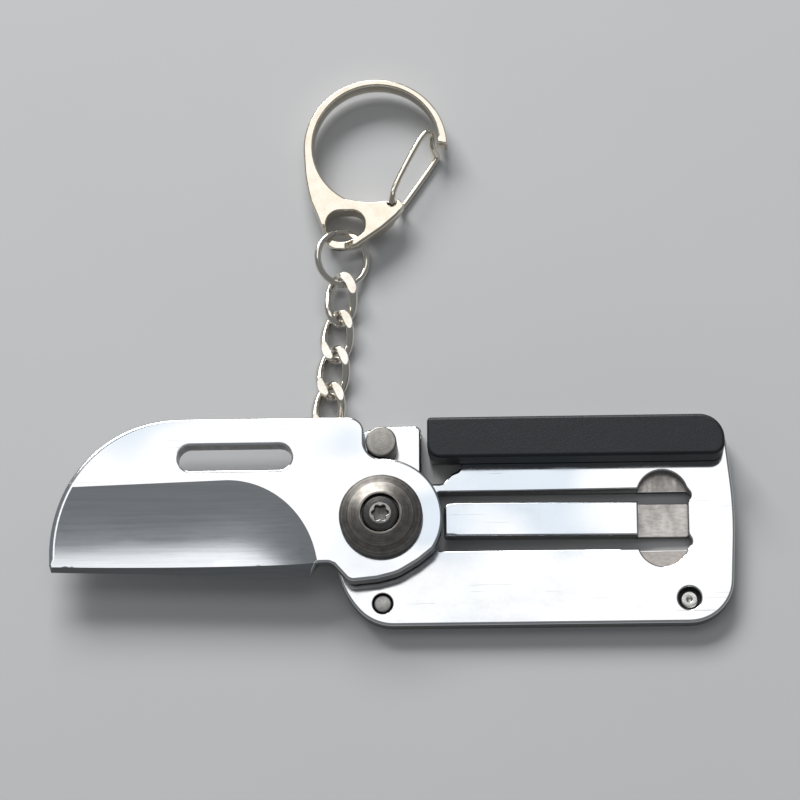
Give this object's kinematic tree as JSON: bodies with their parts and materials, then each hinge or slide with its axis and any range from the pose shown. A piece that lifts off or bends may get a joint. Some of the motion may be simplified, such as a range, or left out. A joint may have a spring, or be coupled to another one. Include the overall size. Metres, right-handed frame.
{
  "type": "folding keychain tool",
  "caption": "Folding cleaver-style blade on a polished steel frame-lock plate with an edge guard, on a curb chain with a round wire-gate clasp.",
  "frame": {"origin": "on the blade's pivot axis, at the handle plate's back face", "axes": "+X along the handle to its end, +Y to the edge guard's side, +Z out of the front face along the pivot"},
  "size_m": [0.0995, 0.0837, 0.0105],
  "materials": {
    "polished_steel": "mirror polished, with fine handling marks",
    "blade_steel": "polished flats, satin hollow grind with fine lengthwise grind lines",
    "turned_steel": "turned, with fine concentric lines",
    "pin_steel": "satin",
    "black_guard": "matte black, fine grain",
    "black_screw": "black oxide, worn bright at the socket",
    "nickel": "nickel plated, slightly warm",
    "bronze": "satin bronze"
  },
  "bodies": {
    "handle": {"handle_plate": "polished_steel", "edge_guard": "black_guard", "guard_screw_front": "pin_steel", "guard_screw_rear": "pin_steel", "stop_pin": "pin_steel", "front_pin": "pin_steel", "rear_pin": "pin_steel", "pivot_barrel": "turned_steel", "pivot_collar": "turned_steel", "pivot_screw": "black_screw", "washer_lower": "bronze", "washer_upper": "bronze"},
    "lock_bar": {"lock_bar": "polished_steel"},
    "blade": {"blade": "blade_steel"},
    "end_ring": {"end_ring": "nickel"},
    "link_1": {"chain_link_1": "nickel"},
    "link_2": {"chain_link_2": "nickel"},
    "link_3": {"chain_link_3": "nickel"},
    "link_4": {"chain_link_4": "nickel"},
    "jump_ring": {"jump_ring": "nickel"},
    "clasp": {"clasp_body": "nickel"},
    "gate": {"clasp_gate": "nickel"}
  },
  "joints": [
    {"name": "blade_pivot", "type": "hinge", "parent": "handle", "child": "blade", "pos_m": [0, 0, 0], "axis": [0, 0, 1], "range_deg": [0, 180]},
    {"name": "lock_bar_flex", "type": "hinge", "parent": "handle", "child": "lock_bar", "pos_m": [0.0415, 0, 0.0006], "axis": [0, 1, 0], "range_deg": [-1.7, 0], "stiffness_Nm_per_rad": 4, "springref_deg": 1.72},
    {"name": "end_ring_swing", "type": "hinge", "parent": "handle", "child": "end_ring", "pos_m": [-0.0086, 0.0117, 0], "axis": [0, 0, 1], "range_deg": [-12, 12]},
    {"name": "link_1_swing", "type": "hinge", "parent": "end_ring", "child": "link_1", "pos_m": [-0.00821, 0.01514, 0], "axis": [0, 0, 1], "range_deg": [-12, 12]},
    {"name": "link_2_swing", "type": "hinge", "parent": "link_1", "child": "link_2", "pos_m": [-0.00768, 0.02065, 0], "axis": [0, 0, 1], "range_deg": [-12, 12]},
    {"name": "link_3_swing", "type": "hinge", "parent": "link_2", "child": "link_3", "pos_m": [-0.00705, 0.0262, 0], "axis": [0, 0, 1], "range_deg": [-12, 12]},
    {"name": "link_4_swing", "type": "hinge", "parent": "link_3", "child": "link_4", "pos_m": [-0.00647, 0.0318, 0], "axis": [0, 0, 1], "range_deg": [-12, 12]},
    {"name": "jump_ring_swing", "type": "hinge", "parent": "link_4", "child": "jump_ring", "pos_m": [-0.00608, 0.03751, 0], "axis": [0, 0, 1], "range_deg": [-12, 12]},
    {"name": "clasp_swing", "type": "hinge", "parent": "jump_ring", "child": "clasp", "pos_m": [-0.00595, 0.044, 0], "axis": [0, 0, 1], "range_deg": [-6, 6]},
    {"name": "gate_swing", "type": "hinge", "parent": "clasp", "child": "gate", "pos_m": [0.00155, 0.04895, 0], "axis": [0, 0, 1], "range_deg": [0, 35], "stiffness_Nm_per_rad": 0.02, "springref_deg": -17.19}
  ]
}
